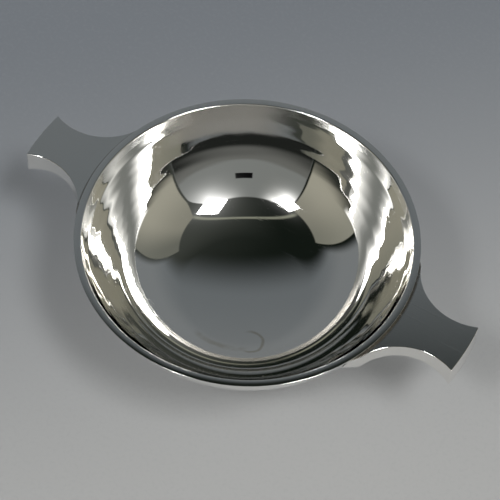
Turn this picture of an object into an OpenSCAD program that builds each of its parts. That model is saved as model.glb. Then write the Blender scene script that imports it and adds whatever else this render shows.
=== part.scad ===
// Quaich: a shallow two-lugged drinking bowl of polished silver.
// Millimetres, +Z up. The origin is the middle of the foot's underside, on the table.
// The lugs lie along X, and the right lug is the one at +X.

/* [Bowl] */
// Outside diameter at the rim
bowl_d = 115; // [95:1:150]
// Inside depth, from the top of the rim to the middle of the floor
bowl_depth = 34; // [27:0.5:44]
// Thickness of the bowl's floor; the sheet thickens from there to the rim
bowl_sheet = 1.4; // [1:0.1:2]
// Slope of the inside at the edge of the shallow floor, in degrees
floor_angle = 7.5; // [3:0.5:12]
// Slope of the inside where the knuckle runs into the wall, in degrees
knuckle_angle = 49.5; // [40:0.5:58]
// Slope of the inside at the rim, in degrees
rim_angle = 69.5; // [64:0.5:78]
// How much steeper the outside is than the inside at the rim, in degrees
skin_angle = 1.5; // [0:0.25:2]
// Distance across the knuckle in plan, from the floor's edge to the wall
knuckle_run = 21; // [16:0.2:24]

/* [Rim wire] */
// Width of the rim's flat top
rim_w = 2.4; // [2:0.1:4]
// Height of the rim wire
rim_wire_h = 2.6; // [1.6:0.1:5]

/* [Lugs] */
// Length of a lug, from the rim to its outer end
lug_len = 24.5; // [18:0.5:32]
// Width of a lug at its waist
lug_waist = 15.6; // [10:0.2:26]
// Radius of the hollow sides of a lug
lug_side_r = 20; // [16:0.5:28]
// Width that a lug's top keeps where its sides sweep past the rim
lug_toe = 0.6; // [0.4:0.1:1.5]
// Length of the solid toe at each side of a lug's root
lug_toe_len = 3.2; // [2:0.2:6]
// How far the top of a lug lies below the top of the rim
lug_drop = 1.3; // [0.4:0.1:4]
// Depth of a lug at the crown of its arched underside
lug_neck_depth = 5.4; // [4:0.1:8]
// Radius of the arched underside of a lug
lug_arch_r = 58; // [44:1:90]
// Distance from the rim to the crown of the arch
lug_crown = 4.5; // [2:0.5:8]
// Thickness of a lug's sheet
lug_sheet = 1.1; // [0.8:0.1:1.2]
// Diameter of the vent in a lug's base plate
vent_d = 1.6; // [1:0.1:2.4]

/* [Foot] */
// Height of the bowl's underside above the table
foot_h = 9.6; // [6:0.2:18]
// Outside diameter of the foot collar under the bowl
foot_neck_d = 45; // [36:0.5:48]
// Outside diameter of the foot wire
foot_base_d = 54.5; // [52:0.5:62]
// Height of the foot wire
foot_wire_h = 2.2; // [1.6:0.1:3]
// Width of the foot wire
foot_wire_w = 3; // [2.4:0.1:5]
// How far the foot wire stands out past the collar
foot_step = 1; // [0.4:0.1:1.4]
// Thickness of the foot collar's sheet
foot_sheet = 1.3; // [1:0.1:1.6]

/* [Fit] */
// Width of the solder joint between two pieces
solder = 0.05; // [0.02:0.01:0.1]

/* [Hidden] */

$fn = 120;
silver = [0.82, 0.81, 0.78];
// Spare length by which a cutting shape runs past what it cuts
past = 1;
// Amount by which the knuckle is let out, so that its arc crosses the arcs beside it
hair = 0.001;

// Heights
floor_z = foot_h + bowl_sheet;
rim_z = floor_z + bowl_depth;
wire_low_z = rim_z - rim_wire_h;
lug_top_z = rim_z - lug_drop;

bowl_r = bowl_d / 2;
mouth_r = bowl_r - rim_w;

// Direction from the centre of an arc to its point of a given slope
function down(slope) = [sin(slope), -cos(slope)];

// Each side of the bowl is three arcs, each tangent to the next: floor, knuckle and wall.
// An arc is given as its centre, its radius and the slope at its upper end.
// It climbs by its run times the tangent of the mean of its slopes.
function cup_arcs(mouth, low_z, run, top_slope) =
    let (
        floor_rise = tan(floor_angle / 2),
        knuckle_rise = tan((floor_angle + knuckle_angle) / 2),
        wall_rise = tan((knuckle_angle + top_slope) / 2),
        climb = rim_z - low_z - (mouth - run) * floor_rise - run * knuckle_rise,
        wall_run = climb / (wall_rise - floor_rise),
        floor_r = (mouth - wall_run - run) / sin(floor_angle),
        knuckle_r = run / (sin(knuckle_angle) - sin(floor_angle)),
        wall_r = wall_run / (sin(top_slope) - sin(knuckle_angle)),
        floor_c = [0, low_z + floor_r],
        knuckle_c = floor_c + (floor_r - knuckle_r) * down(floor_angle),
        wall_c = knuckle_c + (knuckle_r - wall_r) * down(knuckle_angle)
    )
    [
        [floor_c, floor_r, floor_angle],
        [knuckle_c, knuckle_r, knuckle_angle],
        [wall_c, wall_r, top_slope]
    ];

skin_run = knuckle_run + bowl_sheet * (sin(knuckle_angle) - sin(floor_angle));
inside = cup_arcs(mouth_r, floor_z, knuckle_run, rim_angle);
outside = cup_arcs(bowl_r, foot_h, skin_run, rim_angle + skin_angle);

// Plan of a lug: its side arcs pass the rim with the width of the toe between
lug_end_r = bowl_r + lug_len;
side_c_y = lug_waist / 2 + lug_side_r;
side_c_r = bowl_r + lug_toe + lug_side_r;
side_c_x = sqrt(side_c_r * side_c_r - side_c_y * side_c_y);
toe_y = (bowl_r + lug_toe) * side_c_y / side_c_r;
hollow_y = toe_y - lug_toe_len;

// Arched underside of a lug
arch_x = bowl_r + lug_crown;
arch_z = lug_top_z - lug_neck_depth - lug_arch_r;
lug_low_z = arch_z + sqrt(lug_arch_r * lug_arch_r - pow(lug_end_r - arch_x, 2)) - past;

// Foot collar: a hollow curve that leaves the bowl upright and spreads to the wire
neck_r = foot_neck_d / 2;
base_r = foot_base_d / 2;
collar_low_z = foot_wire_h + solder;
collar_fall = foot_h - collar_low_z;
collar_spread = base_r - foot_step - neck_r;
collar_r = (collar_fall * collar_fall + collar_spread * collar_spread) / (2 * collar_spread);

// Radius at which an arc of one side ends, when the side is moved outwards by grow
function arc_end(arc, grow) = arc[0].x + (arc[1] + grow) * sin(arc[2]);

// The full disc of one arc, moved outwards by grow
module arc_disc(arc, grow) {
    translate(arc[0]) circle(arc[1] + grow);
}

// Half section of the filled bowl up to one of its sides, moved outwards by grow
module cup_face(side, grow = 0) {
    intersection() {
        band(0, rim_z);
        union() {
            intersection() {
                arc_disc(side[0], grow);
                square([arc_end(side[0], grow), rim_z]);
            }
            arc_disc(side[1], grow + hair);
            difference() {
                arc_disc(side[2], grow);
                square([arc_end(side[1], grow), rim_z]);
            }
        }
    }
}

// Everything of the section between two heights
module band(low, high) {
    translate([0, low]) square([bowl_r + past, high - low]);
}

// Half section of the bowl and its rim wire
module cup_wall() {
    difference() {
        cup_face(outside);
        cup_face(inside);
    }
}

// The space that the bowl and its rim wire take up, with the solder joint around it
module bowl_space() {
    rotate_extrude() cup_face(outside, solder);
}

module bowl() {
    color(silver) rotate_extrude() intersection() {
        cup_wall();
        band(0, wire_low_z - solder);
    }
}

module rim_wire() {
    color(silver) rotate_extrude() intersection() {
        cup_wall();
        band(wire_low_z, rim_z);
    }
}

// Plan of a lug, with its sides and its end moved in, out to half_w on each side
module lug_plan(side_in = 0, end_in = 0, half_w = toe_y) {
    difference() {
        intersection() {
            translate([0, -half_w]) square([lug_end_r + past, 2 * half_w]);
            circle(lug_end_r - end_in);
        }
        for (side = [-1, 1])
            translate([side_c_x, side * side_c_y]) circle(lug_side_r + side_in);
    }
}

// A cylinder across the lug, about the axis of its arched underside
module arch(radius) {
    translate([arch_x, 0, arch_z]) rotate([90, 0, 0])
        cylinder(r = radius, h = 2 * (toe_y + past), center = true);
}

// A standing plan, from below the lug up to the underside of its top plate
module lug_stand() {
    translate([0, 0, lug_low_z])
        linear_extrude(lug_top_z - lug_sheet - solder - lug_low_z) children();
}

module lug_top() {
    color(silver) difference() {
        translate([0, 0, lug_top_z - lug_sheet]) linear_extrude(lug_sheet) lug_plan();
        bowl_space();
    }
}

module lug_base() {
    color(silver) difference() {
        intersection() {
            lug_stand() lug_plan();
            arch(lug_arch_r + lug_sheet);
        }
        arch(lug_arch_r);
        bowl_space();
        translate([arch_x, 0, lug_low_z]) cylinder(d = vent_d, h = lug_top_z - lug_low_z);
    }
}

module lug_end() {
    color(silver) difference() {
        lug_stand() difference() {
            lug_plan(side_in = lug_sheet + solder);
            circle(lug_end_r - lug_sheet);
        }
        arch(lug_arch_r + lug_sheet + solder);
    }
}

// One side wall of a lug: side is -1 for the front (-Y) and 1 for the back
module lug_wall(side) {
    color(silver) difference() {
        lug_stand() difference() {
            lug_plan();
            lug_plan(side_in = lug_sheet, end_in = -past, half_w = hollow_y);
            translate([0, side < 0 ? 0 : -toe_y - past])
                square([lug_end_r + past, toe_y + past]);
        }
        arch(lug_arch_r + lug_sheet + solder);
        bowl_space();
    }
}

module foot_collar() {
    color(silver) difference() {
        rotate_extrude() {
            intersection() {
                translate([neck_r + collar_r, foot_h]) difference() {
                    circle(collar_r + foot_sheet);
                    circle(collar_r);
                }
                translate([0, collar_low_z]) square([neck_r + collar_r, collar_fall]);
            }
            translate([neck_r - foot_sheet, foot_h]) square([foot_sheet, bowl_depth / 2]);
        }
        bowl_space();
    }
}

module foot_wire() {
    color(silver) rotate_extrude() {
        translate([base_r - foot_wire_w, 0])
            square([foot_wire_w - foot_wire_h / 2, foot_wire_h]);
        translate([base_r - foot_wire_h / 2, foot_wire_h / 2]) circle(d = foot_wire_h);
    }
}

bowl();
rim_wire();
foot_collar();
foot_wire();
lug_top();  // right_lug_top
lug_base();  // right_lug_base
lug_end();  // right_lug_end
lug_wall(-1);  // right_lug_front_wall
lug_wall(1);  // right_lug_back_wall
mirror([1, 0, 0]) lug_top();  // left_lug_top
mirror([1, 0, 0]) lug_base();  // left_lug_base
mirror([1, 0, 0]) lug_end();  // left_lug_end
mirror([1, 0, 0]) lug_wall(-1);  // left_lug_front_wall
mirror([1, 0, 0]) lug_wall(1);  // left_lug_back_wall
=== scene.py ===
import bmesh
import bpy
import numpy as np
from mathutils import Matrix


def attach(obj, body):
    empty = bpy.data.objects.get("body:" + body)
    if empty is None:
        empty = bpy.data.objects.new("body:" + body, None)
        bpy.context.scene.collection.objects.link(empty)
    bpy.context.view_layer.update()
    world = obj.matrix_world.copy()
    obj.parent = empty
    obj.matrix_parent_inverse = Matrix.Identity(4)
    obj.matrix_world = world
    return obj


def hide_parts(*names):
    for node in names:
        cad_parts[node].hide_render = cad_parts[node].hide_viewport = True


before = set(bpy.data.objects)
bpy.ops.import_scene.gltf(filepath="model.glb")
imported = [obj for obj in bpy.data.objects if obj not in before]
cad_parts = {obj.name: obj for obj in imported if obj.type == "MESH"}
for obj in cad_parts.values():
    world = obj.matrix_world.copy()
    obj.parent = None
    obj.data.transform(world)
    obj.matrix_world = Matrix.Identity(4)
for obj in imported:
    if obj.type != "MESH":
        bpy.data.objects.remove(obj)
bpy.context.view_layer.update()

# A millimetre in metres, a micrometre in millimetres and a radian in degrees
MM = 0.001
MICRON = 0.001
DEGREES = 180 / np.pi

# Bowl and rim wire
BOWL_R = 57.5
BOWL_DEPTH = 34.0
BOWL_SHEET = 1.4
FLOOR_ANGLE = 7.5
KNUCKLE_ANGLE = 49.5
RIM_ANGLE = 69.5
SKIN_ANGLE = 1.5
KNUCKLE_RUN = 21.0
RIM_W = 2.4
RIM_WIRE_H = 2.6
RIM_INNER_EDGE = 0.35
RIM_OUTER_EDGE = 0.14

# Lugs
LUG_LEN = 24.5
LUG_WAIST = 15.6
LUG_SIDE_R = 20.0
LUG_TOE = 0.6
LUG_DROP = 1.3
LUG_NECK_DEPTH = 5.4
LUG_ARCH_R = 58.0
LUG_CROWN = 4.5
LUG_SHEET = 1.1
LUG_EDGE = 0.22
LUG_CORNER = 0.35
TOE_RUN_OUT = 3.0
ROOT_BELOW_WIRE = 1.0
VENT_R = 0.8

# Foot
FOOT_H = 9.6
FOOT_NECK_R = 22.5
FOOT_BASE_R = 27.25
FOOT_WIRE_H = 2.2
FOOT_WIRE_W = 3.0
FOOT_WIRE_EDGE = 0.2
FOOT_STEP = 1.0
FOOT_SHEET = 1.3

# Heights
FLOOR_Z = FOOT_H + BOWL_SHEET
RIM_Z = FLOOR_Z + BOWL_DEPTH
WIRE_LOW_Z = RIM_Z - RIM_WIRE_H
LUG_TOP_Z = RIM_Z - LUG_DROP

# Fineness of the meshes
BOWL_STEPS = 400
FOOT_STEPS = 288
SIDE_STATIONS = 44
CORNER_STATIONS = 7
MERGE_WITHIN = 0.0002
SHARP_ANGLE = 35.0


def sin(degrees):
    """Sine of an angle in degrees."""
    return np.sin(np.radians(degrees))


def cos(degrees):
    """Cosine of an angle in degrees."""
    return np.cos(np.radians(degrees))


def tan(degrees):
    """Tangent of an angle in degrees."""
    return np.tan(np.radians(degrees))


def down(slope):
    """Unit vector in the (radius, height) plane from an arc's centre to its point of that slope."""
    return np.stack([sin(slope), -cos(slope)], axis=-1)


class Cup:
    """One side of the bowl: three arcs, each tangent to the next, for floor, knuckle and wall.

    An arc between two slopes climbs by its run times the tangent of their mean.
    """

    def __init__(self, mouth, low_z, run, top_slope):
        """Finds the arcs from mouth radius, lowest height, the knuckle's run and the top slope."""
        floor_rise = tan(FLOOR_ANGLE / 2)
        knuckle_rise = tan((FLOOR_ANGLE + KNUCKLE_ANGLE) / 2)
        wall_rise = tan((KNUCKLE_ANGLE + top_slope) / 2)
        climb = RIM_Z - low_z - (mouth - run) * floor_rise - run * knuckle_rise
        wall_run = climb / (wall_rise - floor_rise)
        self.top_slope = top_slope
        self.floor_r = (mouth - wall_run - run) / sin(FLOOR_ANGLE)
        self.knuckle_r = run / (sin(KNUCKLE_ANGLE) - sin(FLOOR_ANGLE))
        self.wall_r = wall_run / (sin(top_slope) - sin(KNUCKLE_ANGLE))
        self.floor_c = np.array([0.0, low_z + self.floor_r])
        self.knuckle_c = self.floor_c + (self.floor_r - self.knuckle_r) * down(FLOOR_ANGLE)
        self.wall_c = self.knuckle_c + (self.knuckle_r - self.wall_r) * down(KNUCKLE_ANGLE)

    def floor(self, start, stop, count):
        """Points of the floor's arc between two slopes, in even steps of slope."""
        return self.floor_c + self.floor_r * down(np.linspace(start, stop, count))

    def knuckle(self, start, stop, count):
        """Points of the knuckle's arc between two slopes."""
        return self.knuckle_c + self.knuckle_r * down(np.linspace(start, stop, count))

    def wall(self, start, stop, count):
        """Points of the wall's arc between two slopes."""
        return self.wall_c + self.wall_r * down(np.linspace(start, stop, count))

    def slope_at(self, height):
        """Slope at which the wall reaches a height."""
        return np.degrees(np.arccos((self.wall_c[1] - height) / self.wall_r))

    def wall_radius(self, height):
        """Radius at which the wall reaches a height."""
        return self.wall_c[0] + np.sqrt(self.wall_r**2 - (height - self.wall_c[1]) ** 2)

    def floor_height(self, radius):
        """Height of the floor at a radius."""
        return self.floor_c[1] - np.sqrt(self.floor_r**2 - radius**2)


SKIN_RUN = KNUCKLE_RUN + BOWL_SHEET * (sin(KNUCKLE_ANGLE) - sin(FLOOR_ANGLE))
INSIDE = Cup(BOWL_R - RIM_W, FLOOR_Z, KNUCKLE_RUN, RIM_ANGLE)
OUTSIDE = Cup(BOWL_R, FOOT_H, SKIN_RUN, RIM_ANGLE + SKIN_ANGLE)


# Meshes

def make_piece(name, points, faces, node, material):
    """Puts a closed skin into a mesh: equal points merged, faces turned outwards and shaded smooth.

    Edges that turn by more than the sharp angle stay crisp.
    """
    mesh = bpy.data.meshes.new(name)
    mesh.from_pydata((points * MM).tolist(), [], faces.tolist())
    skin = bmesh.new()
    skin.from_mesh(mesh)
    bmesh.ops.remove_doubles(skin, verts=skin.verts, dist=MERGE_WITHIN * MM)
    bmesh.ops.recalc_face_normals(skin, faces=skin.faces)
    skin.to_mesh(mesh)
    skin.free()
    mesh.shade_smooth()
    mesh.set_sharp_from_angle(angle=np.radians(SHARP_ANGLE))
    mesh.materials.append(material)
    piece = bpy.data.objects.new(name, mesh)
    bpy.context.scene.collection.objects.link(piece)
    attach(piece, "root")
    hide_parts(node)
    return piece


def grid_faces(index):
    """Four-sided faces between neighbouring numbers of a two-way grid of point numbers."""
    corners = [index[:-1, :-1], index[1:, :-1], index[1:, 1:], index[:-1, 1:]]
    return np.stack([corner.ravel() for corner in corners], axis=-1)


# Turned pieces

def eased(corners, reach, steps=6):
    """Closed section with each corner rounded.

    A corner gives way to a quadratic curve that starts and ends at its reach from the corner.
    Points of a corner with no reach fall together, and one of them is kept.
    """
    same_point = 1e-4
    reach = reach[:, None]
    before = np.roll(corners, 1, axis=0) - corners
    after = np.roll(corners, -1, axis=0) - corners
    start = corners + before / np.linalg.norm(before, axis=1, keepdims=True) * reach
    stop = corners + after / np.linalg.norm(after, axis=1, keepdims=True) * reach
    t = np.linspace(0, 1, steps)[None, :, None]
    curve = (1 - t) ** 2 * start[:, None] + 2 * t * (1 - t) * corners[:, None] + t**2 * stop[:, None]
    curve = curve.reshape(-1, 2)
    step = np.linalg.norm(curve - np.roll(curve, 1, axis=0), axis=1)
    return curve[step > same_point]


def turned(section, around, closed, swell=None):
    """A section carried once round the axis.

    The point of section row i at turn j is (r cos a, r sin a, z), with the row moved by swell[i, j],
    a (radius, height) pair, first. A closed section joins its last row to its first.
    """
    turn = np.linspace(0, 2 * np.pi, around, endpoint=False)
    rz = np.repeat(section[:, None, :], around, axis=1)
    if swell is not None:
        rz = rz + swell
    points = np.stack([rz[..., 0] * np.cos(turn), rz[..., 0] * np.sin(turn), rz[..., 1]], axis=-1)
    index = np.arange(len(section) * around).reshape(len(section), around)
    index = np.concatenate([index, index[:, :1]], axis=1)
    if closed:
        index = np.concatenate([index, index[:1]], axis=0)
    return points.reshape(-1, 3), grid_faces(index)


def raising_marks(path, radius, seed, gap, length):
    """Height of the faint marks that raising and planishing leave round the bowl's inside.

    Rings of marks lie a gap apart along the section. Each ring rises and falls as waves round the
    axis, of a given length and longer, and fades into its neighbours as a bell curve.
    """
    ring_width = 0.6 * gap
    ring_height = 0.9
    waves_and_weights = ((1.0, 0.25), (0.61, 0.4), (0.37, 0.5), (0.16, 0.7))
    fewest_waves = 3
    drawn = np.random.default_rng(seed)
    turn = np.linspace(0, 2 * np.pi, BOWL_STEPS, endpoint=False)
    rings = np.arange(gap, path[-1], gap)
    bell = np.exp(-(((path[:, None] - rings) / ring_width) ** 2))
    waves = np.round(2 * np.pi * np.interp(rings, path, radius) / length)
    waves = np.maximum(waves, fewest_waves)
    marks = drawn.normal(0, ring_height, (len(rings), 1)) * np.ones(BOWL_STEPS)
    for share, weight in waves_and_weights:
        start = drawn.uniform(0, 2 * np.pi, (len(rings), 1))
        marks += weight * np.cos(np.round(share * waves)[:, None] * turn + start)
    return bell @ marks


def make_bowl(material):
    """The bowl: floor, knuckle and wall arcs inside, and arcs of their own outside.

    The inside carries the hammer marks, long streaks and small dimples, as moves along its normal.
    They grow from the floor's edge upwards and die away below the rim wire.
    """
    top_in = INSIDE.slope_at(WIRE_LOW_Z)
    top_out = OUTSIDE.slope_at(WIRE_LOW_Z)
    inside = np.concatenate([
        INSIDE.floor(0, FLOOR_ANGLE, 22)[:-1],
        INSIDE.knuckle(FLOOR_ANGLE, KNUCKLE_ANGLE, 52)[:-1],
        INSIDE.wall(KNUCKLE_ANGLE, top_in, 100),
    ])
    outside = np.concatenate([
        OUTSIDE.wall(top_out, KNUCKLE_ANGLE, 22)[:-1],
        OUTSIDE.knuckle(KNUCKLE_ANGLE, FLOOR_ANGLE, 14)[:-1],
        OUTSIDE.floor(FLOOR_ANGLE, 0, 6),
    ])
    step = np.gradient(inside, axis=0)
    step /= np.linalg.norm(step, axis=1, keepdims=True)
    inward = np.stack([-step[:, 1], step[:, 0]], axis=-1)
    path = np.concatenate([[0], np.cumsum(np.linalg.norm(np.diff(inside, axis=0), axis=1))])
    end = path[-1]

    # Heights of the marks, in micrometres, at places along the section
    streak_places = [40, 54, end - 3, end - 0.3]
    streak_heights = [0, 13, 13, 0]
    dimple_places = [18, 44, end - 4, end - 0.3]
    dimple_heights = [0, 0.6, 1.2, 0]
    streaks = raising_marks(path, inside[:, 0], seed=7, gap=2.4, length=24.0)
    streaks *= np.interp(path, streak_places, streak_heights)[:, None] * MICRON
    dimples = raising_marks(path, inside[:, 0], seed=3, gap=3.2, length=3.4)
    dimples *= np.interp(path, dimple_places, dimple_heights)[:, None] * MICRON

    swell = np.zeros((len(inside) + len(outside), BOWL_STEPS, 2))
    swell[: len(inside)] = (streaks + dimples)[..., None] * inward[:, None, :]
    section = np.concatenate([inside, outside])
    points, faces = turned(section, BOWL_STEPS, False, swell)
    return make_piece("bowl_shell", points, faces, "bowl", material)


def make_rim_wire(material):
    """The rim wire: a flat top between the wall's two arcs, its upper edges softened by wear."""
    inner = INSIDE.wall(INSIDE.slope_at(WIRE_LOW_Z), INSIDE.top_slope, 6)
    outer = OUTSIDE.wall(OUTSIDE.top_slope, OUTSIDE.slope_at(WIRE_LOW_Z), 6)
    corners = np.concatenate([inner, outer])
    reach = np.zeros(len(corners))
    reach[len(inner) - 1] = RIM_INNER_EDGE
    reach[len(inner)] = RIM_OUTER_EDGE
    points, faces = turned(eased(corners, reach), BOWL_STEPS, True)
    return make_piece("rim_band", points, faces, "rim_wire", material)


def make_foot_collar(material):
    """The foot collar: upright under the bowl, then a hollow arc out to the wire.

    Its inner face is an arc about the same centre, and its top follows the bowl's outside.
    """
    fall = FOOT_H - FOOT_WIRE_H
    spread = FOOT_BASE_R - FOOT_STEP - FOOT_NECK_R
    hollow_r = (fall * fall + spread * spread) / (2 * spread)
    centre = np.array([FOOT_NECK_R + hollow_r, FOOT_H])
    turn_out = np.degrees(np.arcsin(fall / hollow_r))
    turn_in = np.degrees(np.arcsin(fall / (hollow_r + FOOT_SHEET)))
    out_t = np.linspace(turn_out, 0, 24)
    in_t = np.linspace(0, turn_in, 24)
    outer = centre - hollow_r * np.stack([cos(out_t), sin(out_t)], axis=-1)
    inner = centre - (hollow_r + FOOT_SHEET) * np.stack([cos(in_t), sin(in_t)], axis=-1)
    top_r = np.linspace(FOOT_NECK_R, FOOT_NECK_R - FOOT_SHEET, 5)
    top = np.stack([top_r, OUTSIDE.floor_height(top_r)], axis=-1)
    section = np.concatenate([outer, top, inner])
    points, faces = turned(section, FOOT_STEPS, True)
    return make_piece("foot_ring_collar", points, faces, "foot_collar", material)


def make_foot_wire(material):
    """The foot wire: a flat underside, a half-round outer edge and softened inner edges."""
    half = FOOT_WIRE_H / 2
    turn = np.linspace(-90, 90, 25)
    edge = np.stack([FOOT_BASE_R - half + half * cos(turn), half + half * sin(turn)], axis=-1)
    inner_r = FOOT_BASE_R - FOOT_WIRE_W
    corners = np.concatenate([edge, [[inner_r, FOOT_WIRE_H], [inner_r, 0.0]]])
    reach = np.zeros(len(corners))
    reach[-2:] = FOOT_WIRE_EDGE
    points, faces = turned(eased(corners, reach), FOOT_STEPS, True)
    return make_piece("foot_ring_wire", points, faces, "foot_wire", material)


# Lugs

def heading(vector):
    """Angle of a plan vector from +X, in radians."""
    return np.arctan2(vector[..., 1], vector[..., 0])


def spoke(angle):
    """Unit plan vector at an angle in radians."""
    return np.stack([np.cos(angle), np.sin(angle)], axis=-1)


# Plan: centre of the hollow side's circle, end of the lug and end of the toe
SIDE_C_Y = LUG_WAIST / 2 + LUG_SIDE_R
SIDE_C_R = BOWL_R + LUG_TOE + LUG_SIDE_R
SIDE_C = np.array([np.sqrt(SIDE_C_R**2 - SIDE_C_Y**2), SIDE_C_Y])
LUG_END_R = BOWL_R + LUG_LEN
TOE_Y = (BOWL_R + LUG_TOE) * SIDE_C_Y / SIDE_C_R


def meeting_turn(radius, reach):
    """Plan angle, in radians, where a circle about the bowl meets one about the side's centre."""
    return heading(SIDE_C) - np.arccos((radius**2 + SIDE_C_R**2 - reach**2) / (2 * radius * SIDE_C_R))


# Centre of the small rounding between a lug's hollow side and its end, and angles along the side
CORNER_R = LUG_END_R - LUG_CORNER
CORNER_TURN = meeting_turn(CORNER_R, LUG_SIDE_R + LUG_CORNER)
CORNER_C = CORNER_R * spoke(CORNER_TURN)
SIDE_TURNS = np.linspace(heading(-SIDE_C), heading(CORNER_C - SIDE_C), SIDE_STATIONS)

# Centre of the arch under a lug
ARCH_X = BOWL_R + LUG_CROWN
ARCH_Z = LUG_TOP_Z - LUG_NECK_DEPTH - LUG_ARCH_R


def arch_height(x, sheet=0.0):
    """Height of the arched underside at x, or of its upper face a sheet's thickness up."""
    return ARCH_Z + np.sqrt((LUG_ARCH_R + sheet) ** 2 - (x - ARCH_X) ** 2)


def side_line(inset):
    """Half of a lug's plan outline, moved in: the hollow side from its toe, then the corner."""
    side = SIDE_C + (LUG_SIDE_R + inset) * spoke(SIDE_TURNS)
    corner_turns = np.linspace(heading(SIDE_C - CORNER_C), CORNER_TURN, CORNER_STATIONS)[1:]
    corner = CORNER_C + (LUG_CORNER - inset) * spoke(corner_turns)
    return np.concatenate([side, corner])


def lug_layer(inset, height_of, across=33):
    """One layer of a lug plate as a grid: stations from the root to the end, by steps across.

    A station lies on a circle about the bowl's axis. Its points run from minus to plus the angle
    at which that circle meets the outline, and height_of(x) lifts them. The first station
    follows the outside of the bowl, whose radius settles with its height in a few rounds.
    """
    line = side_line(inset)
    r = np.hypot(line[:, 0], line[:, 1])[:, None]
    share = np.linspace(-1, 1, across)
    turn = heading(line)[:, None] * share
    root_r = np.full(across, BOWL_R)
    for _ in range(6):
        root_turn = np.arcsin((TOE_Y + TOE_RUN_OUT - inset) / root_r) * share
        root_r = OUTSIDE.wall_radius(height_of(root_r * np.cos(root_turn)))
    r = np.concatenate([root_r[None], np.repeat(r, across, axis=1)])
    turn = np.concatenate([root_turn[None], turn])
    x = r * np.cos(turn)
    return np.stack([x, r * np.sin(turn), height_of(x)], axis=-1)


def border(index):
    """Numbers along the border of grids of point numbers, once round and back to the start."""
    sides = [index[:, :, 0], index[:, -1, 1:], index[:, -2::-1, -1], index[:, 0, -2::-1]]
    return np.concatenate(sides, axis=1)


def stacked(layers, vent=False):
    """A closed skin from layers of equal grids: first and last are caps, and the rims of all join up.

    A vent is a round hole through both caps: the border of a block of their faces is drawn to a
    circle about the vent's place, the block is left out, and a tube joins the two circles.
    """
    layers = np.array(layers)
    count, rows, cols = layers.shape[:3]
    index = np.arange(count * rows * cols).reshape(count, rows, cols)
    faces = [grid_faces(border(index))]
    caps = [grid_faces(index[0]), grid_faces(index[-1])]
    if vent:
        half = 2
        col = cols // 2
        row = np.argmin(np.abs(layers[0, :, col, 0] - ARCH_X))
        ring = border(index[[0, -1], row - half:row + half + 1, col - half:col + half + 1])
        points = layers.reshape(-1, 3)
        middle = np.array([ARCH_X, 0.0])
        offset = points[ring][..., :2] - middle
        points[ring, :2] = middle + VENT_R * offset / np.linalg.norm(offset, axis=-1, keepdims=True)
        points[ring[0], 2] = arch_height(points[ring[0], 0])
        points[ring[1], 2] = arch_height(points[ring[1], 0], LUG_SHEET)
        faces.append(grid_faces(ring))
        kept = np.ones((rows - 1, cols - 1), dtype=bool)
        kept[row - half:row + half, col - half:col + half] = False
        caps = [cap[kept.ravel()] for cap in caps]
    return layers.reshape(-1, 3), np.concatenate([*caps, *faces])


def make_lug_piece(name, layers, node, material, mirrored, vent):
    """Makes one piece of a lug; the left lug's pieces are the right lug's with X turned about."""
    points, faces = stacked(layers, vent)
    used = np.unique(faces)
    fresh = np.zeros(len(points), dtype=int)
    fresh[used] = np.arange(len(used))
    points = points[used] * ([-1, 1, 1] if mirrored else [1, 1, 1])
    return make_piece(name, points, fresh[faces], node, material)


def soft_edge():
    """Insets and drops of a plate's softened edge: a step on the flat face, then a quarter round."""
    flat_inset = 1.3 * LUG_EDGE
    bend = np.array([0, 12, 28, 46, 66, 90])
    insets = np.append(flat_inset, LUG_EDGE * (1 - sin(bend)))
    drops = np.append(0, LUG_EDGE * (1 - cos(bend)))
    return insets, drops


def top_layers():
    """Layers of a lug's top plate: the flat top, its softened edge, and the plain underside."""
    layers = [
        lug_layer(inset, lambda x, z=LUG_TOP_Z - drop: np.full(np.shape(x), z))
        for inset, drop in zip(*soft_edge())
    ]
    return [*layers, lug_layer(0, lambda x: np.full(np.shape(x), LUG_TOP_Z - LUG_SHEET))]


def base_layers():
    """Layers of a lug's base plate: the arched underside, its softened edge, and the upper face."""
    layers = [
        lug_layer(inset, lambda x, up=drop: arch_height(x) + up)
        for inset, drop in zip(*soft_edge())
    ]
    return [*layers, lug_layer(0, lambda x: arch_height(x, LUG_SHEET))]


def end_layers():
    """Layers of a lug's end: a bent strip between the side walls, from base plate to top plate."""
    r = np.linspace(LUG_END_R - LUG_SHEET, LUG_END_R, 3)[:, None]
    turn = meeting_turn(r, LUG_SIDE_R + LUG_SHEET) * np.linspace(-1, 1, 25)
    x = r * np.cos(turn)
    y = r * np.sin(turn)
    low = arch_height(x, LUG_SHEET)
    high = LUG_TOP_Z - LUG_SHEET
    return [np.stack([x, y, low + (high - low) * up], axis=-1) for up in np.linspace(0, 1, 4)]


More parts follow.
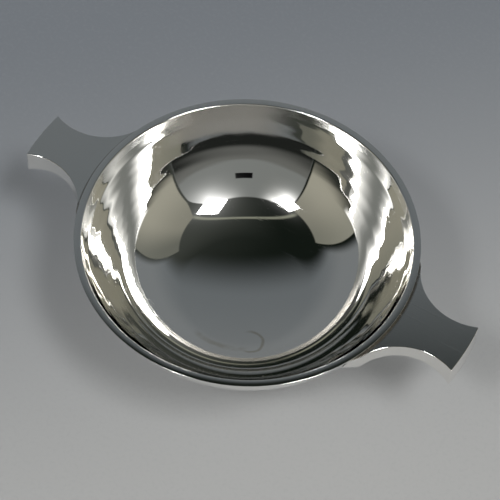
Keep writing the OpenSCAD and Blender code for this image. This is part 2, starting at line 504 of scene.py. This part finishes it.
def wall_layers(side):
    """Layers of a lug's side wall, side being 1 at the back and -1 at the front.

    The outer line is the plan outline. The inner line is a sheet's thickness in from it, but no
    further than the outside of the bowl, so the toe is solid; it settles in a few rounds. Both
    start at the root, where the toe runs out. Layers go from the base plate to the top plate.
    """
    outer = side_line(0)
    reach = LUG_SIDE_R + LUG_SHEET
    high = LUG_TOP_Z - LUG_SHEET
    end_point = LUG_END_R * spoke(meeting_turn(LUG_END_R, reach))
    end_turns = np.linspace(SIDE_TURNS[-1], heading(end_point - SIDE_C), CORNER_STATIONS)[1:]
    ray = spoke(np.concatenate([SIDE_TURNS, end_turns]))
    lean = ray @ SIDE_C
    root_low = arch_height(OUTSIDE.wall_radius(WIRE_LOW_Z - ROOT_BELOW_WIRE), LUG_SHEET)
    share = np.linspace(0, 1, 5)[None, :, None]
    layers = []
    for up in np.linspace(0, 1, 9):
        inner = SIDE_C + reach * ray
        for _ in range(4):
            low = arch_height(inner[:, 0], LUG_SHEET)
            bowl_r = OUTSIDE.wall_radius(low + (high - low) * up)
            room = lean**2 - (SIDE_C_R**2 - bowl_r**2)
            limit = np.where(room > 0, -lean - np.sqrt(np.maximum(room, 0)), reach)
            inner = SIDE_C + np.minimum(reach, limit)[:, None] * ray
        root_r = OUTSIDE.wall_radius(root_low + (high - root_low) * up)
        root = root_r * spoke(np.arcsin((TOE_Y + TOE_RUN_OUT) / root_r))
        out_line = np.concatenate([root[None], outer])
        in_line = np.concatenate([root[None], inner])
        plan = out_line[:, None] * (1 - share) + in_line[:, None] * share
        low = arch_height(plan[..., 0], LUG_SHEET)
        z = low + (high - low) * up
        layers.append(np.stack([plan[..., 0], side * plan[..., 1], z], axis=-1))
    return layers


# Node helpers

def put(tree, kind, inputs=None, **settings):
    """Adds a node, sets its options, and sets or links its inputs."""
    made = tree.nodes.new(kind)
    for name, value in settings.items():
        setattr(made, name, value)
    for name, value in (inputs or {}).items():
        if isinstance(value, bpy.types.NodeSocket):
            tree.links.new(value, made.inputs[name])
        else:
            made.inputs[name].default_value = value
    return made


def calc(tree, operation, first, second=0.0):
    """One step of arithmetic between two values."""
    return put(tree, "ShaderNodeMath", {0: first, 1: second}, operation=operation).outputs[0]


def vector_calc(tree, operation, first, second=(0.0, 0.0, 0.0)):
    """One step of arithmetic between two vectors or colours."""
    return put(tree, "ShaderNodeVectorMath", {0: first, 1: second}, operation=operation).outputs[0]


def fade(tree, value, low, high, start=0.0, stop=1.0):
    """Smooth change from start to stop while the value goes from low to high."""
    inputs = {"Value": value, "From Min": low, "From Max": high, "To Min": start, "To Max": stop}
    return put(tree, "ShaderNodeMapRange", inputs, interpolation_type="SMOOTHSTEP").outputs[0]


def both(tree, *masks):
    """Product of masks."""
    result = masks[0]
    for mask in masks[1:]:
        result = calc(tree, "MULTIPLY", result, mask)
    return result


def span(tree, value, low, high, soft):
    """Mask that is 1 between low and high, with soft ends."""
    rise = fade(tree, value, low - soft, low + soft)
    fall = fade(tree, value, high - soft, high + soft, 1, 0)
    return both(tree, rise, fall)


def along(tree, vector, axis):
    """Length of a vector along a fixed axis."""
    inputs = {0: vector, 1: [float(part) for part in axis]}
    return put(tree, "ShaderNodeVectorMath", inputs, operation="DOT_PRODUCT").outputs["Value"]


def off(tree, value, middle):
    """Distance of a value from a middle, either way."""
    return calc(tree, "ABSOLUTE", calc(tree, "SUBTRACT", value, middle))


def tinted(tree, value):
    """A value as a grey colour."""
    return put(tree, "ShaderNodeCombineColor", {"Red": value, "Green": value, "Blue": value}).outputs[0]


def over(tree, under, colour, mask):
    """Lays a colour over another where the mask is 1."""
    mixed = put(tree, "ShaderNodeMix", {0: mask, 6: under, 7: colour}, data_type="RGBA")
    return mixed.outputs[2]


def tint(red, green, blue):
    """Linear colour of a screen shade given in 0 to 255."""
    shade = np.array([red, green, blue]) / 255
    linear = np.where(shade <= 0.04045, shade / 12.92, ((shade + 0.055) / 1.055) ** 2.4)
    return (*linear.tolist(), 1.0)


# Studio

# Tones. A panel has one for each end and one for its top, and a sheet has two that it runs between.
CEILING_TONE = tint(19, 24, 20)
CEILING_RIGHT_TONE = tint(62, 65, 61)
RAIL_TONE = tint(130, 132, 118)
LEFT_PANEL_TONES = (tint(158, 156, 143), tint(138, 138, 127), tint(92, 93, 86))
RIGHT_PANEL_TONES = (tint(113, 114, 106), tint(157, 155, 142), tint(84, 86, 79))
PANEL_FOOT_TONE = tint(44, 46, 42)
FRONT_TONE = tint(121, 124, 122)
FRONT_LOW_TONES = (tint(102, 103, 100), tint(30, 32, 30))
SLOT_TONE = tint(10, 10, 11)
TABLE_TONE = tint(140, 142, 143)
FAR_TONES = (tint(117, 121, 123), tint(101, 106, 109))
# The floor runs from its own tone near the bowl to a painted-shade tone at the back
FLOOR_SHADE_TONES = (tint(147, 147, 146), tint(96, 100, 105))
FLOOR_GRAIN_TONE = tint(120, 122, 124)
LEDGE_GLOW = (1.3, 1.3, 1.25, 1.0)
LAMP_GLOW = (30.0, 30.0, 30.0, 1.0)

# Lamps: bearing, height, half of the long and of the short side, and turn from level, in degrees
RIGHT_LAMP = (105.0, 60.8, 7.7, 6.2, -36.0)
LEFT_LAMP = (-165.5, 54.6, 5.3, 4.9, 14.0)


def aim(bearing, height):
    """Unit vector at a bearing from +Y towards +X and a height above the horizon, in degrees."""
    return np.array([sin(bearing) * cos(height), cos(bearing) * cos(height), sin(height)])


def directions(tree, way):
    """Bearing, bearing counted from -Y and height of a unit direction, in degrees."""
    axes = put(tree, "ShaderNodeSeparateXYZ", {0: way}).outputs
    bearing = calc(tree, "MULTIPLY", calc(tree, "ARCTAN2", axes[0], axes[1]), DEGREES)
    minus_x = calc(tree, "MULTIPLY", axes[0], -1.0)
    minus_y = calc(tree, "MULTIPLY", axes[1], -1.0)
    behind = calc(tree, "MULTIPLY", calc(tree, "ARCTAN2", minus_x, minus_y), DEGREES)
    height = calc(tree, "MULTIPLY", calc(tree, "ARCSINE", axes[2]), DEGREES)
    return bearing, behind, height


def slanted(tree, side, height, slant):
    """A bearing with the slant of an upright edge taken out; the edge is true at one height."""
    true_height = 38.0
    lean = calc(tree, "MULTIPLY", calc(tree, "SUBTRACT", height, true_height), slant)
    return calc(tree, "SUBTRACT", side, lean)


def overhead(tree, way, height):
    """The dark overhead: a little lighter to the right, with a pale rail across the top.

    The rail follows the plane through three directions.
    """
    to_right = fade(tree, along(tree, way, aim(75, 40)), 0.42, 0.95)
    light = over(tree, CEILING_TONE, CEILING_RIGHT_TONE, to_right)
    left_end, top, right_end = aim(-150, 66), aim(172, 83), aim(80, 68)
    square = np.cross(top - left_end, right_end - left_end)
    square /= np.linalg.norm(square)
    half_rail = 0.014
    rail_edge = 0.012
    off_rail = calc(tree, "SUBTRACT", along(tree, way, square), float(square @ left_end))
    rail = span(tree, off_rail, -half_rail, half_rail, rail_edge)
    return over(tree, light, RAIL_TONE, both(tree, rail, fade(tree, height, 55, 62)))


def panel_tone(tree, tones, height, across, high_share):
    """Tone of a side panel: it goes from one end's tone to the other's, and darkens to top and foot."""
    first, second, top = tones
    high = calc(tree, "MULTIPLY", fade(tree, height, 18, 60), high_share)
    tone = over(tree, over(tree, first, second, across), top, high)
    return over(tree, tone, PANEL_FOOT_TONE, fade(tree, height, 18.0, 10.0))


def side_panels(tree, bearing, height, bow):
    """Masks and tones of the warm panels at the left and right."""
    left = both(
        tree,
        fade(tree, slanted(tree, bearing, height, 0.22), -112.0, -111.0, 1, 0),
        fade(tree, slanted(tree, bearing, height, 0.12), -163.6, -162.4),
        fade(tree, height, 56.4, 57.8, 1, 0),
    )
    bowed = calc(tree, "ADD", bearing, bow)
    right = both(
        tree,
        fade(tree, slanted(tree, bearing, height, -0.36), 34.5, 35.5),
        fade(tree, slanted(tree, bowed, height, -0.12), 91.5, 92.9, 1, 0),
        fade(tree, height, 58.3, 59.7, 1, 0),
    )
    left_tone = panel_tone(tree, LEFT_PANEL_TONES, height, fade(tree, bearing, -150, -114), 0.45)
    right_tone = panel_tone(tree, RIGHT_PANEL_TONES, height, fade(tree, bearing, 38, 64), 0.42)
    return (left, left_tone), (right, right_tone)


def front_sheet(tree, light, behind, height, bow):
    """Lays the front sheet over the light, a narrow gap away from the panels, with a dark slot.

    It darkens towards the table. The mask of the sheet comes back with the light.
    """
    bow_share = 1.5
    bowed = calc(tree, "SUBTRACT", behind, calc(tree, "MULTIPLY", bow, bow_share))
    sheet = both(
        tree,
        fade(tree, slanted(tree, bowed, height, -0.12), -86.6, -85.2),
        fade(tree, slanted(tree, behind, height, 0.12), 14.8, 16.0, 1, 0),
    )
    front = both(tree, sheet, fade(tree, height, 58.0, 60.0, 1, 0))
    light = over(tree, light, FRONT_TONE, front)
    slot = both(tree, span(tree, behind, -40.6, -26.8, 0.6), span(tree, height, 31.2, 36.9, 0.5))
    light = over(tree, light, SLOT_TONE, slot)
    low_tone = over(tree, *FRONT_LOW_TONES, fade(tree, height, 20.0, 10.0))
    low_front = both(tree, sheet, fade(tree, height, 22.5, 20.0))
    return over(tree, light, low_tone, low_front), front


def ledges(tree, bearing, height):
    """Mask of the bright ledges at the foot of the panels."""
    left = both(tree, span(tree, bearing, -131, -110, 3.0), span(tree, height, 13.0, 15.2, 0.8))
    right = both(tree, span(tree, bearing, 46, 67, 3.0), span(tree, height, 13.6, 16.4, 0.8))
    return calc(tree, "ADD", left, right)


def lamp_masks(tree, way, lamp):
    """Mask and halo of a box lamp, seen as a rectangle on the plane square to its direction.

    The rectangle's long side is turned by askew degrees from level. The halo is the distance
    from the rectangle, in degrees.
    """
    bearing, height, half_long, half_short, askew = lamp
    edge = 0.7
    least_depth = 0.01
    ahead = aim(bearing, height)
    level = np.array([cos(bearing), -sin(bearing), 0.0])
    upright = np.cross(level, ahead)
    long_side = level * cos(askew) + upright * sin(askew)
    short_side = upright * cos(askew) - level * sin(askew)
    depth = calc(tree, "MAXIMUM", along(tree, way, ahead), least_depth)
    reach = []
    for side, half in ((long_side, half_long), (short_side, half_short)):
        angle = calc(tree, "ARCTANGENT", calc(tree, "DIVIDE", along(tree, way, side), depth))
        angle = calc(tree, "MULTIPLY", calc(tree, "ABSOLUTE", angle), DEGREES)
        reach.append(calc(tree, "SUBTRACT", angle, half))
    inside = both(tree, *[fade(tree, side, -edge, edge, 1, 0) for side in reach])
    out = [calc(tree, "MAXIMUM", side, 0.0) for side in reach]
    squares = calc(tree, "ADD", both(tree, out[0], out[0]), both(tree, out[1], out[1]))
    return inside, calc(tree, "SQRT", squares)


def add_lamps(tree, light, way, behind, front, panels):
    """Adds the two lamps to the light, each with a halo on the front sheet and a faint one in the open.

    A halo falls off as the exponential of the distance from its lamp over its reach.
    """
    right_lamp, off_right = lamp_masks(tree, way, RIGHT_LAMP)
    left_lamp, off_left = lamp_masks(tree, way, LEFT_LAMP)
    open_air = fade(tree, panels, 0, 1, 1, 0)
    front_right = both(tree, front, fade(tree, behind, -64.0, -24.0, 1, 0))
    front_left = both(tree, front, fade(tree, behind, -24.0, -6.0))
    for distance, where, gain, reach in (
        (off_right, front_right, 1.0, 7.3),
        (off_right, open_air, 0.12, 5.5),
        (off_left, front_left, 2.0, 4.0),
        (off_left, open_air, 0.12, 4.0),
    ):
        halo = calc(tree, "EXPONENT", calc(tree, "DIVIDE", distance, -reach))
        halo = calc(tree, "MULTIPLY", both(tree, halo, where), gain)
        light = vector_calc(tree, "ADD", light, tinted(tree, halo))
    return over(tree, light, LAMP_GLOW, calc(tree, "ADD", right_lamp, left_lamp))


def make_studio():
    """Surroundings as a world: sheets and panels round the table, two lamps over them, dark overhead.

    Directions are a bearing from +Y towards +X and a height above the horizon, both in degrees.
    The bearing "behind" is counted from -Y, where the camera stands near -28. The edges between
    the right panel and the front sheet bow apart with the square of the height above 40.
    """
    world = bpy.data.worlds.new("studio")
    bpy.context.scene.world = world
    world.use_nodes = True
    tree = world.node_tree
    tree.nodes.clear()
    way = put(tree, "ShaderNodeTexCoord").outputs["Generated"]
    bearing, behind, height = directions(tree, way)
    bow_start = 40.0
    bow_rate = 0.03
    above = calc(tree, "SUBTRACT", calc(tree, "MAXIMUM", height, bow_start), bow_start)
    bow = calc(tree, "MULTIPLY", both(tree, above, above), bow_rate)

    light = overhead(tree, way, height)
    (left, left_tone), (right, right_tone) = side_panels(tree, bearing, height, bow)
    light = over(tree, light, left_tone, left)
    light = over(tree, light, right_tone, right)
    light, front = front_sheet(tree, light, behind, height, bow)
    light = over(tree, light, LEDGE_GLOW, ledges(tree, bearing, height))
    light = over(tree, light, TABLE_TONE, fade(tree, height, 5.0, 1.0))
    light = add_lamps(tree, light, way, behind, front, calc(tree, "ADD", left, right))

    back = put(tree, "ShaderNodeBackground", {"Color": light, "Strength": 1.0})
    put(tree, "ShaderNodeOutputWorld", {"Surface": back.outputs[0]})


def make_sheet(name, points):
    """An open sheet from a grid of points in metres, with a material of its own to fill."""
    rows, cols = points.shape[:2]
    index = np.arange(rows * cols).reshape(rows, cols)
    mesh = bpy.data.meshes.new(name)
    mesh.from_pydata(points.reshape(-1, 3).tolist(), [], grid_faces(index).tolist())
    material = bpy.data.materials.new(name)
    material.use_nodes = True
    mesh.materials.append(material)
    sheet = bpy.data.objects.new(name, mesh)
    bpy.context.scene.collection.objects.link(sheet)
    return sheet, material.node_tree


def make_far_sheet():
    """The far sheet: a part of a sphere about the bowl's floor, glowing faintly on its inner face.

    Its points lie at a fixed distance, bearing by height. Its top is arched, falls off towards
    the corners with the square of the bearing from its middle, and fades out, as do its ends.
    """
    distance = 0.95
    middle, half_width, corner_drop = -36.0, 63.0, 9.5
    bearings = np.linspace(-125.0, 50.0, 71)[:, None]
    heights = np.linspace(0.0, 72.0, 37)[None, :]
    level = cos(heights) * np.ones_like(bearings)
    up = sin(heights) * np.ones_like(bearings)
    points = distance * np.stack([sin(bearings) * level, cos(bearings) * level, up], axis=-1)
    sheet, tree = make_sheet("far_sheet", points)
    sheet.location = (0.0, 0.009, FLOOR_Z * MM)
    tree.nodes.clear()
    place = put(tree, "ShaderNodeTexCoord").outputs["Object"]
    bearing, _, height = directions(tree, vector_calc(tree, "NORMALIZE", place))
    from_middle = calc(tree, "DIVIDE", calc(tree, "SUBTRACT", bearing, middle), half_width)
    drop = calc(tree, "MULTIPLY", both(tree, from_middle, from_middle), corner_drop)
    facing = put(tree, "ShaderNodeNewGeometry").outputs["Backfacing"]
    mask = both(
        tree,
        fade(tree, slanted(tree, bearing, height, 0.2), -110.0, -101.0),
        fade(tree, slanted(tree, bearing, height, -0.33), 28.0, 35.0, 1, 0),
        fade(tree, calc(tree, "ADD", height, drop), 56.0, 66.5, 1, 0),
        calc(tree, "SUBTRACT", 1.0, facing),
    )
    tone = over(tree, *FAR_TONES, fade(tree, height, 34, 58))
    glow = put(tree, "ShaderNodeEmission", {"Color": tone, "Strength": 1.0}).outputs[0]
    clear = put(tree, "ShaderNodeBsdfTransparent").outputs[0]
    mixed = put(tree, "ShaderNodeMixShader", {0: mask, 1: clear, 2: glow}).outputs[0]
    put(tree, "ShaderNodeOutputMaterial", {"Surface": mixed})


def make_floor():
    """A wide pale sheet under the quaich, as one flat grid, with a painted glow that lifts its shadows
    and painted shade that darkens it to the back.
    """
    side = np.linspace(-4.0, 4.0, 9)
    x, y = np.meshgrid(side, side, indexing="ij")
    _, tree = make_sheet("floor", np.stack([x, y, np.zeros_like(x)], axis=-1))
    shader = tree.nodes["Principled BSDF"]
    shader.inputs["Roughness"].default_value = 0.75
    shader.inputs["Specular IOR Level"].default_value = 0.2
    # Painted light: the floor glows a little, which lifts the shadows on it
    shader.inputs["Emission Strength"].default_value = 0.45
    place = put(tree, "ShaderNodeTexCoord").outputs["Object"]
    # Painted shade: the floor darkens towards the back
    to_back = (-0.66, 0.751, 0.0)
    tone = over(tree, *FLOOR_SHADE_TONES, fade(tree, along(tree, place, to_back), -0.11, 0.15))
    grain = fade(tree, cloud(tree, place, 700.0, 4.0), 0.45, 0.75, 0.0, 0.12)
    tone = over(tree, tone, FLOOR_GRAIN_TONE, grain)
    tree.links.new(tone, shader.inputs["Base Color"])
    tree.links.new(tone, shader.inputs["Emission Color"])


# Camera

def swung(first, second, angle):
    """Two unit vectors swung together in their plane, by an angle in radians."""
    return (
        first * np.cos(angle) - second * np.sin(angle),
        first * np.sin(angle) + second * np.cos(angle),
    )


def make_camera():
    """Camera where the photograph was taken from: it circles the rim's middle, pans, tilts and rolls."""
    around, up = 0.49652, 0.970501
    pan, tilt, roll = 0.001401, -0.006139, -0.047871
    distance = 12.615558 * BOWL_R * MM
    focal_px = 2193.511
    frame_px = 500.0
    back = np.array([np.sin(around) * np.cos(up), -np.cos(around) * np.cos(up), np.sin(up)])
    right = np.array([np.cos(around), np.sin(around), 0.0])
    over_head = np.cross(back, right)
    right, ahead = swung(right, -back, pan)
    over_head, ahead = swung(over_head, ahead, tilt)
    right, over_head = swung(right, over_head, roll)
    data = bpy.data.cameras.new("camera")
    data.sensor_fit = "HORIZONTAL"
    data.sensor_width = 36.0
    data.lens = focal_px * data.sensor_width / frame_px
    data.clip_start = 0.05
    data.clip_end = 50.0
    camera = bpy.data.objects.new("camera", data)
    bpy.context.scene.collection.objects.link(camera)
    turn = Matrix(np.stack([right, over_head, -ahead], axis=1).tolist()).to_4x4()
    place = np.array([0.0, 0.0, RIM_Z * MM]) + back * distance
    camera.matrix_world = Matrix.Translation(place.tolist()) @ turn
    bpy.context.scene.camera = camera


# Finishes

BRIGHT = (0.93, 0.92, 0.895, 1.0)
SOFT = (0.91, 0.9, 0.875, 1.0)
FILM = (0.86, 0.84, 0.79, 1.0)
# Pale shade of the painted reflection on the bowl's upper wall and the rim's inner face
PAINTED_REFLECTION_SHADE = (0.82, 0.785, 0.72, 1.0)
STAIN = (0.7, 0.66, 0.58, 1.0)
WORN = (0.94, 0.93, 0.91, 1.0)
SCUFFED = (0.82, 0.81, 0.78, 1.0)
# Dark shade for the joints of rim and lugs: painted shade on the rim's step, dirt with painted shade on
# the lugs' tops
JOINT_DIRT_AND_SHADE = (0.3, 0.28, 0.25, 1.0)
HAIRLINE_DEPTH = 0.01


def cloud(tree, place, scale, detail=3.0):
    """Soft noise from 0 to 1, at so many lumps to the metre."""
    inputs = {"Vector": place, "Scale": scale, "Detail": detail}
    return put(tree, "ShaderNodeTexNoise", inputs).outputs[0]


def make_polish_group():
    """What polishing leaves: cloudy haze, a thin film in patches, and hairlines in three directions.

    A hairline is a ridge of noise that is drawn out long one way, kept where a slow noise is high.
    """
    group = bpy.data.node_groups.new("polish", "ShaderNodeTree")
    group.interface.new_socket("Place", in_out="INPUT", socket_type="NodeSocketVector")
    place = group.nodes.new("NodeGroupInput").outputs["Place"]
    wide = fade(group, cloud(group, place, 45.0), 0.35, 0.7)
    fine = fade(group, cloud(group, place, 380.0), 0.4, 0.7)
    haze = calc(group, "ADD", calc(group, "MULTIPLY", wide, 0.7), calc(group, "MULTIPLY", fine, 0.3))
    film = fade(group, cloud(group, place, 24.0, 5.0), 0.48, 0.78)
    drawn_out = (30.0, 1500.0, 1500.0)
    ridges = []
    for turn in ((0.3, 0.2, 0.5), (0.9, -0.4, 1.7), (-0.5, 0.8, 2.8)):
        inputs = {"Vector": place, "Rotation": turn, "Scale": drawn_out}
        drawn = put(group, "ShaderNodeMapping", inputs).outputs[0]
        ridges.append(fade(group, cloud(group, drawn, 1.0, 1.0), 0.66, 0.74))
    lines = calc(group, "MAXIMUM", calc(group, "MAXIMUM", ridges[0], ridges[1]), ridges[2])
    lines = both(group, lines, fade(group, cloud(group, place, 60.0), 0.45, 0.65))
    made = {"Haze": haze, "Film": film, "Lines": lines}
    for name in made:
        group.interface.new_socket(name, in_out="OUTPUT", socket_type="NodeSocketFloat")
    put(group, "NodeGroupOutput", made)
    return group


def axis_parts(tree, place):
    """Distance from the bowl's axis and height, in millimetres."""
    level = vector_calc(tree, "MULTIPLY", place, (1.0, 1.0, 0.0))
    radius = put(tree, "ShaderNodeVectorMath", {0: level}, operation="LENGTH").outputs["Value"]
    height = put(tree, "ShaderNodeSeparateXYZ", {0: place}).outputs[2]
    return calc(tree, "DIVIDE", radius, MM), calc(tree, "DIVIDE", height, MM)


def drying_mark(tree, place):
    """The mark that a drying drop left on the bowl's floor: a broad stroke that ends in a hook.

    The stroke follows a circle about the bowl's axis, and the hook is most of a small ring.
    """
    stroke_r = 24.6
    hook_r = 4.85
    hook_middle = (12.1 * MM, -17.1 * MM, 0.0)
    ragged = calc(tree, "MULTIPLY", cloud(tree, place, 300.0), 0.9)
    axes = put(tree, "ShaderNodeSeparateXYZ", {0: place}).outputs
    beside = calc(tree, "DIVIDE", axes[0], MM)
    radius, _ = axis_parts(tree, place)
    off_stroke = off(tree, calc(tree, "ADD", radius, ragged), stroke_r)
    stroke = both(
        tree,
        fade(tree, off_stroke, 0.2, 1.5, 0.75, 0),
        span(tree, beside, -4.5, 11.5, 2.5),
        fade(tree, axes[1], -8 * MM, -16 * MM),
    )
    offset = vector_calc(tree, "SUBTRACT", place, hook_middle)
    radius, _ = axis_parts(tree, offset)
    off_hook = off(tree, calc(tree, "ADD", radius, ragged), hook_r)
    right = fade(tree, along(tree, offset, (1.0, 0.35, 0.0)), -3.5 * MM, 1.2 * MM)
    hook = both(tree, fade(tree, off_hook, 0.15, 0.75, 1, 0), right)
    broken = fade(tree, cloud(tree, place, 210.0), 0.2, 0.55)
    return both(tree, calc(tree, "MAXIMUM", stroke, hook), broken)


def painted_reflection_haze(tree, place):
    """Painted reflection: a pale, hazier and less metallic band inside the upper wall at the back left,
    up to the rim's inner edge, standing in for a reflection of the bright surroundings.
    """
    radius, height = axis_parts(tree, place)
    mouth_r = BOWL_R - RIM_W
    axes = put(tree, "ShaderNodeSeparateXYZ", {0: place}).outputs
    bearing = calc(tree, "MULTIPLY", calc(tree, "ARCTAN2", axes[0], axes[1]), DEGREES)
    ragged = calc(tree, "MULTIPLY", cloud(tree, place, 150.0), 2.0)
    return both(
        tree,
        fade(tree, radius, mouth_r, mouth_r + 0.2, 1, 0),
        fade(tree, calc(tree, "SUBTRACT", height, ragged), RIM_Z - 12.0, RIM_Z - 9.8),
        span(tree, bearing, -61.0, -19.0, 9.0),
    )


def rim_wear(tree, place):
    """Wear along both upper edges of the rim."""
    radius, _ = axis_parts(tree, place)
    off_middle = off(tree, radius, BOWL_R - RIM_W / 2)
    edge = fade(tree, off_middle, RIM_W / 2 - 0.35, RIM_W / 2 - 0.08)
    return both(tree, edge, fade(tree, cloud(tree, place, 180.0), 0.35, 0.65))


def rim_step_shade(tree, place):
    """Painted shade: a dark band on the rim's outer face, low down where the lugs are, in the step down
    to each lug's top.
    """
    radius, height = axis_parts(tree, place)
    beside = put(tree, "ShaderNodeSeparateXYZ", {0: place}).outputs[1]
    beside = calc(tree, "DIVIDE", calc(tree, "ABSOLUTE", beside), MM)
    return both(
        tree,
        fade(tree, radius, BOWL_R - 0.6, BOWL_R - 0.3),
        fade(tree, height, RIM_Z - 0.45, RIM_Z - 0.2, 1, 0),
        fade(tree, beside, TOE_Y - 0.5, TOE_Y + 1.5, 1, 0),
    )


def joint_dirt_and_shade(tree, place):
    """Dark film on a lug's top plate where it meets the rim, widened into painted shade below the rim's
    step.
    """
    radius, height = axis_parts(tree, place)
    near = fade(tree, radius, BOWL_R + 0.35, BOWL_R + 1.0, 1, 0)
    high = fade(tree, height, LUG_TOP_Z - 0.3, LUG_TOP_Z - 0.05)
    return both(tree, near, high, fade(tree, cloud(tree, place, 260.0), 0.2, 0.5, 0.5, 1.0))


def standing_wear(tree, place):
    """Scuffs on the face that the foot stands on."""
    _, height = axis_parts(tree, place)
    low = fade(tree, height, 0.05, 0.45, 1, 0)
    return both(tree, low, fade(tree, cloud(tree, place, 420.0), 0.3, 0.6))


def make_silver(name, colour, polish, smooth, places):
    """Polished silver: a shade with patches of film, haze and hairlines, its worn or dirty places, and
    its places of painted shade and painted reflection.

    Each place is a mask with its own shade, roughness and share of bare metal, laid over the rest.
    """
    film_share = 0.5
    line_roughness = 0.08
    material = bpy.data.materials.new(name)
    material.use_nodes = True
    tree = material.node_tree
    shader = tree.nodes["Principled BSDF"]
    shader.inputs["Metallic"].default_value = 1.0
    place = put(tree, "ShaderNodeTexCoord").outputs["Object"]
    marks = put(tree, "ShaderNodeGroup", node_tree=polish)
    tree.links.new(place, marks.inputs["Place"])
    lines = marks.outputs["Lines"]
    shade = over(tree, colour, FILM, calc(tree, "MULTIPLY", marks.outputs["Film"], film_share))
    rough = fade(tree, marks.outputs["Haze"], 0.0, 1.0, smooth * 0.6, smooth * 1.5)
    rough = calc(tree, "ADD", rough, calc(tree, "MULTIPLY", lines, line_roughness))
    for mask_of, place_shade, place_roughness, place_metal in places:
        mask = mask_of(tree, place)
        shade = over(tree, shade, place_shade, mask)
        rough = put(tree, "ShaderNodeMix", {0: mask, 2: rough, 3: place_roughness}).outputs[0]
        if place_metal < 1:
            metal = put(tree, "ShaderNodeMix", {0: mask, 2: 1.0, 3: place_metal}).outputs[0]
            tree.links.new(metal, shader.inputs["Metallic"])
    inputs = {"Height": lines, "Strength": 0.12, "Distance": HAIRLINE_DEPTH * MM}
    bump = put(tree, "ShaderNodeBump", inputs)
    tree.links.new(shade, shader.inputs["Base Color"])
    tree.links.new(rough, shader.inputs["Roughness"])
    tree.links.new(bump.outputs[0], shader.inputs["Normal"])
    return material


make_studio()
make_far_sheet()
make_floor()
make_camera()

polish = make_polish_group()
# Painted reflection: a pale band on the upper wall at the back left, on the bowl and on the rim's inner
# face
painted_reflection_place = (painted_reflection_haze, PAINTED_REFLECTION_SHADE, 0.19, 0.84)
bowl_places = [(drying_mark, STAIN, 0.12, 1.0), painted_reflection_place]
# The rim's outer face above the lugs carries painted shade
rim_places = [(rim_wear, WORN, 0.14, 1.0), painted_reflection_place, (rim_step_shade, JOINT_DIRT_AND_SHADE, 0.25, 1.0)]
# Dirt with painted shade on the lugs' tops beside the rim
lug_places = [(joint_dirt_and_shade, JOINT_DIRT_AND_SHADE, 0.3, 1.0)]
foot_places = [(standing_wear, SCUFFED, 0.34, 1.0)]
bowl_silver = make_silver("bowl_silver", BRIGHT, polish, 0.025, bowl_places)
rim_silver = make_silver("rim_silver", BRIGHT, polish, 0.06, rim_places)
lug_silver = make_silver("lug_silver", SOFT, polish, 0.09, lug_places)
foot_silver = make_silver("foot_silver", SOFT, polish, 0.08, foot_places)

make_bowl(bowl_silver)
make_rim_wire(rim_silver)
make_foot_collar(foot_silver)
make_foot_wire(foot_silver)
lug_parts = (
    ("top_plate", "top", top_layers()),
    ("base_plate", "base", base_layers()),
    ("end_strip", "end", end_layers()),
    ("front_side", "front_wall", wall_layers(-1)),
    ("back_side", "back_wall", wall_layers(1)),
)
for hand, mirrored in (("right", False), ("left", True)):
    for part, node, layers in lug_parts:
        vent = node == "base"
        make_lug_piece(f"{hand}_lug_{part}", layers, f"{hand}_lug_{node}", lug_silver, mirrored, vent)

view = bpy.context.scene.view_settings
view.view_transform = "Standard"
